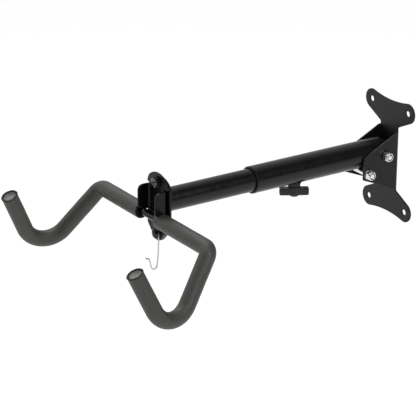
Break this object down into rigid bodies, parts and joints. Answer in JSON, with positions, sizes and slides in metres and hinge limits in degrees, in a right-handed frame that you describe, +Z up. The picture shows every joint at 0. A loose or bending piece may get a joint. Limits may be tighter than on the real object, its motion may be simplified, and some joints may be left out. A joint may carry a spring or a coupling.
{
  "type": "folding telescopic bicycle wall rack",
  "caption": "Wall plate with a folding, telescoping arm that carries a foam-sleeved two-hook cradle for a bicycle frame and a small wire hook.",
  "frame": {"origin": "middle of the four wall-screw holes, on the back face of the wall plate", "axes": "+Y into the wall (normal of the back face), the rack reaches out along -Y, +Z up, +X to the side that carries the nuts of the two cheek bolts"},
  "size_m": [0.37, 0.5641, 0.1868],
  "materials": {
    "bracket_paint": "satin black powder coat with a fine orange peel",
    "tube_paint": "semi-gloss black powder coat",
    "gloss_paint": "gloss black powder coat",
    "bright_zinc": "bright zinc plate",
    "black_zinc": "black zinc plate, semi-gloss",
    "black_plastic": "moulded black plastic",
    "nylon": "natural nylon",
    "foam": "dark grey closed-cell foam, matte",
    "plug_rubber": "matte grey-black moulded rubber"
  },
  "bodies": {
    "wall": {"wall_bracket": "bracket_paint", "pivot_bolt": "bright_zinc", "pivot_nut": "bright_zinc", "pivot_washer_near": "black_zinc", "pivot_washer_far": "black_zinc", "support_bolt": "bright_zinc", "support_nut": "bright_zinc", "support_washer_near": "bright_zinc", "support_washer_far": "bright_zinc"},
    "arm": {"outer_tube": "tube_paint", "pivot_bush": "bright_zinc", "mouth_bush": "black_plastic", "clamp_boss": "tube_paint"},
    "clamp_tip": {"screw_pad": "nylon"},
    "clamp": {"clamp_screw": "bright_zinc", "clamp_knob": "black_plastic"},
    "slide": {"inner_tube": "tube_paint", "rear_guide": "black_plastic", "end_plate": "gloss_paint", "cradle_bracket": "gloss_paint", "upper_bolt": "black_zinc", "upper_washer": "black_zinc", "upper_nut": "black_zinc", "lower_bolt": "black_zinc", "lower_nut": "black_zinc", "cradle_bar": "gloss_paint", "foam_sleeve_right": "foam", "foam_sleeve_left": "foam", "tip_plug_right": "plug_rubber", "tip_plug_left": "plug_rubber"},
    "hook": {"helmet_hook": "bright_zinc"}
  },
  "joints": [
    {"name": "fold", "type": "hinge", "parent": "wall", "child": "arm", "pos_m": [0, -0.025, 0.011], "axis": [-1, 0, 0], "range_deg": [0, 85]},
    {"name": "telescope", "type": "slide", "parent": "arm", "child": "slide", "axis": [0, 1, 0], "range_m": [0, 0.115]},
    {"name": "clamp_travel", "type": "slide", "parent": "arm", "child": "clamp_tip", "axis": [0, 0, -1], "range_m": [0, 0.0019]},
    {"name": "clamp_turn", "type": "hinge", "parent": "clamp_tip", "child": "clamp", "pos_m": [0, -0.1745, -0.02], "axis": [0, 0, -1], "range_deg": [0, 540]},
    {"name": "hook_swing", "type": "hinge", "parent": "slide", "child": "hook", "pos_m": [0, -0.4126, -0.0346], "axis": [0, 1, 0], "range_deg": [-60, 60]}
  ],
  "couplings": [
    {"joint": "clamp_travel", "follows": "clamp_turn", "m_per_rad": 0.00019894}
  ]
}
